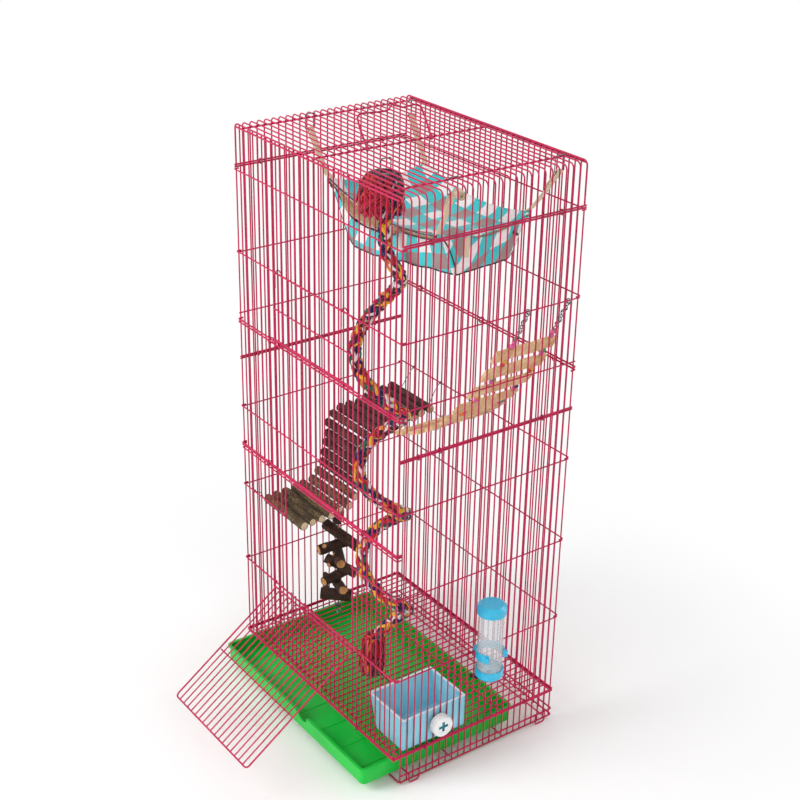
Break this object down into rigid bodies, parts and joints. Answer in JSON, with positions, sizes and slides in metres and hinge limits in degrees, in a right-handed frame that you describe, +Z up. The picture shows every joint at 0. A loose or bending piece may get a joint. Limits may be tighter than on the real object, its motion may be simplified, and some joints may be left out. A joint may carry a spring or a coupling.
{
  "type": "small pet cage",
  "caption": "Tall wire cage for small pets with a pull-out drawer, two drop-down doors, carrying handle, feeder box, water bottle, hammock, bridges, rope perch and chew toy.",
  "frame": {"origin": "middle of the whole outline's footprint, at the floor under the feet", "axes": "+Z up, front with the doors and drawer towards -Y, water bottle on the +X side"},
  "size_m": [0.5167, 0.5554, 1.0594],
  "materials": {
    "pink_wire": "gloss",
    "green_plastic": "gloss",
    "clear_blue": "gloss",
    "white_plastic": "satin",
    "clear_plastic": "gloss",
    "blue_plastic": "gloss",
    "dark_steel": "satin",
    "bright_steel": "polished",
    "bark": "rough",
    "dark_bark": "rough",
    "pale_wood": "matte",
    "bead_pink": "gloss",
    "bead_yellow": "gloss",
    "bead_red": "gloss",
    "bead_green": "gloss",
    "bead_navy": "gloss",
    "bead_cyan": "gloss",
    "bead_orange": "gloss",
    "cord": "matte",
    "rope": "matte",
    "cloth": "matte",
    "strap": "matte"
  },
  "bodies": {
    "cage": {"base_frame": "pink_wire", "foot_loops": "pink_wire", "floor_grid": "pink_wire", "front_lower_panel": "pink_wire", "front_middle_panel": "pink_wire", "front_upper_panel": "pink_wire", "rear_lower_panel": "pink_wire", "rear_upper_panel": "pink_wire", "left_lower_panel": "pink_wire", "left_upper_panel": "pink_wire", "right_lower_panel": "pink_wire", "right_upper_panel": "pink_wire", "top_panel": "pink_wire", "roof_skirt": "pink_wire", "panel_clips": "pink_wire", "feeder_box": "clear_blue", "feeder_plate": "clear_blue", "bottle_clip": "blue_plastic", "logs_upper": "bark", "logs_middle": "bark", "logs_lower": "bark", "log_wires": "bright_steel", "log_hooks": "bright_steel", "planks": "pale_wood", "beads_pink": "bead_pink", "beads_yellow": "bead_yellow", "beads_red": "bead_red", "beads_green": "bead_green", "beads_navy": "bead_navy", "beads_cyan": "bead_cyan", "beads_orange": "bead_orange", "plank_cords": "cord", "plank_chains": "bright_steel", "rope_hook": "bright_steel", "hammock_cloth": "cloth", "hammock_pocket": "cloth", "hammock_straps": "strap", "hammock_clips": "bright_steel"},
    "lower_door": {"lower_door": "pink_wire"},
    "upper_door": {"upper_door": "pink_wire"},
    "drawer": {"tray": "green_plastic"},
    "handle": {"carry_handle": "pink_wire"},
    "feeder_knob": {"feeder_knob": "white_plastic"},
    "bottle": {"bottle_body": "clear_plastic", "bottle_base": "blue_plastic", "bottle_spout": "dark_steel", "bottle_ball": "bright_steel"},
    "bottle_cap": {"bottle_cap": "blue_plastic"},
    "rope_perch": {"rope_ring": "bright_steel", "rope_caps": "dark_steel", "rope_perch": "rope", "tassel_top": "rope", "tassel_bottom": "rope"},
    "chew_toy": {"chew_logs": "dark_bark", "chew_cord": "cord", "chew_nut": "bright_steel", "chew_loop": "bright_steel"}
  },
  "joints": [
    {"name": "lower_door_hinge", "type": "hinge", "parent": "cage", "child": "lower_door", "pos_m": [-0.0226, -0.06864, 0.2129], "axis": [1, 0, 0], "range_deg": [-125.7, 0]},
    {"name": "upper_door_hinge", "type": "hinge", "parent": "cage", "child": "upper_door", "pos_m": [-0.0226, -0.06864, 0.6761], "axis": [1, 0, 0], "range_deg": [0, 95]},
    {"name": "drawer_slide", "type": "slide", "parent": "cage", "child": "drawer", "axis": [0, -1, 0], "range_m": [-0.05, 0.24]},
    {"name": "handle_pivot", "type": "hinge", "parent": "cage", "child": "handle", "pos_m": [-0.0286, 0.1016, 1.00716], "axis": [0, 1, 0], "range_deg": [-48, 117]},
    {"name": "knob_turn", "type": "hinge", "parent": "cage", "child": "feeder_knob", "pos_m": [0.2154, 0.0212, 0.0969], "axis": [1, 0, 0], "continuous": true},
    {"name": "bottle_lift", "type": "slide", "parent": "cage", "child": "bottle", "axis": [0, 0, 1], "range_m": [0, 0.02]},
    {"name": "bottle_cap_turn", "type": "hinge", "parent": "bottle", "child": "bottle_cap", "pos_m": [0.2339, 0.1036, 0.3009], "axis": [0, 0, 1], "range_deg": [0, 360]},
    {"name": "rope_swivel", "type": "hinge", "parent": "cage", "child": "rope_perch", "pos_m": [0.0394, 0.0212, 0.9659], "axis": [0, 0, 1], "range_deg": [-20, 20]},
    {"name": "chew_swing", "type": "hinge", "parent": "cage", "child": "chew_toy", "pos_m": [-0.1296, 0.04894, 0.34186], "axis": [0, 1, 0], "range_deg": [-6, 6]}
  ]
}
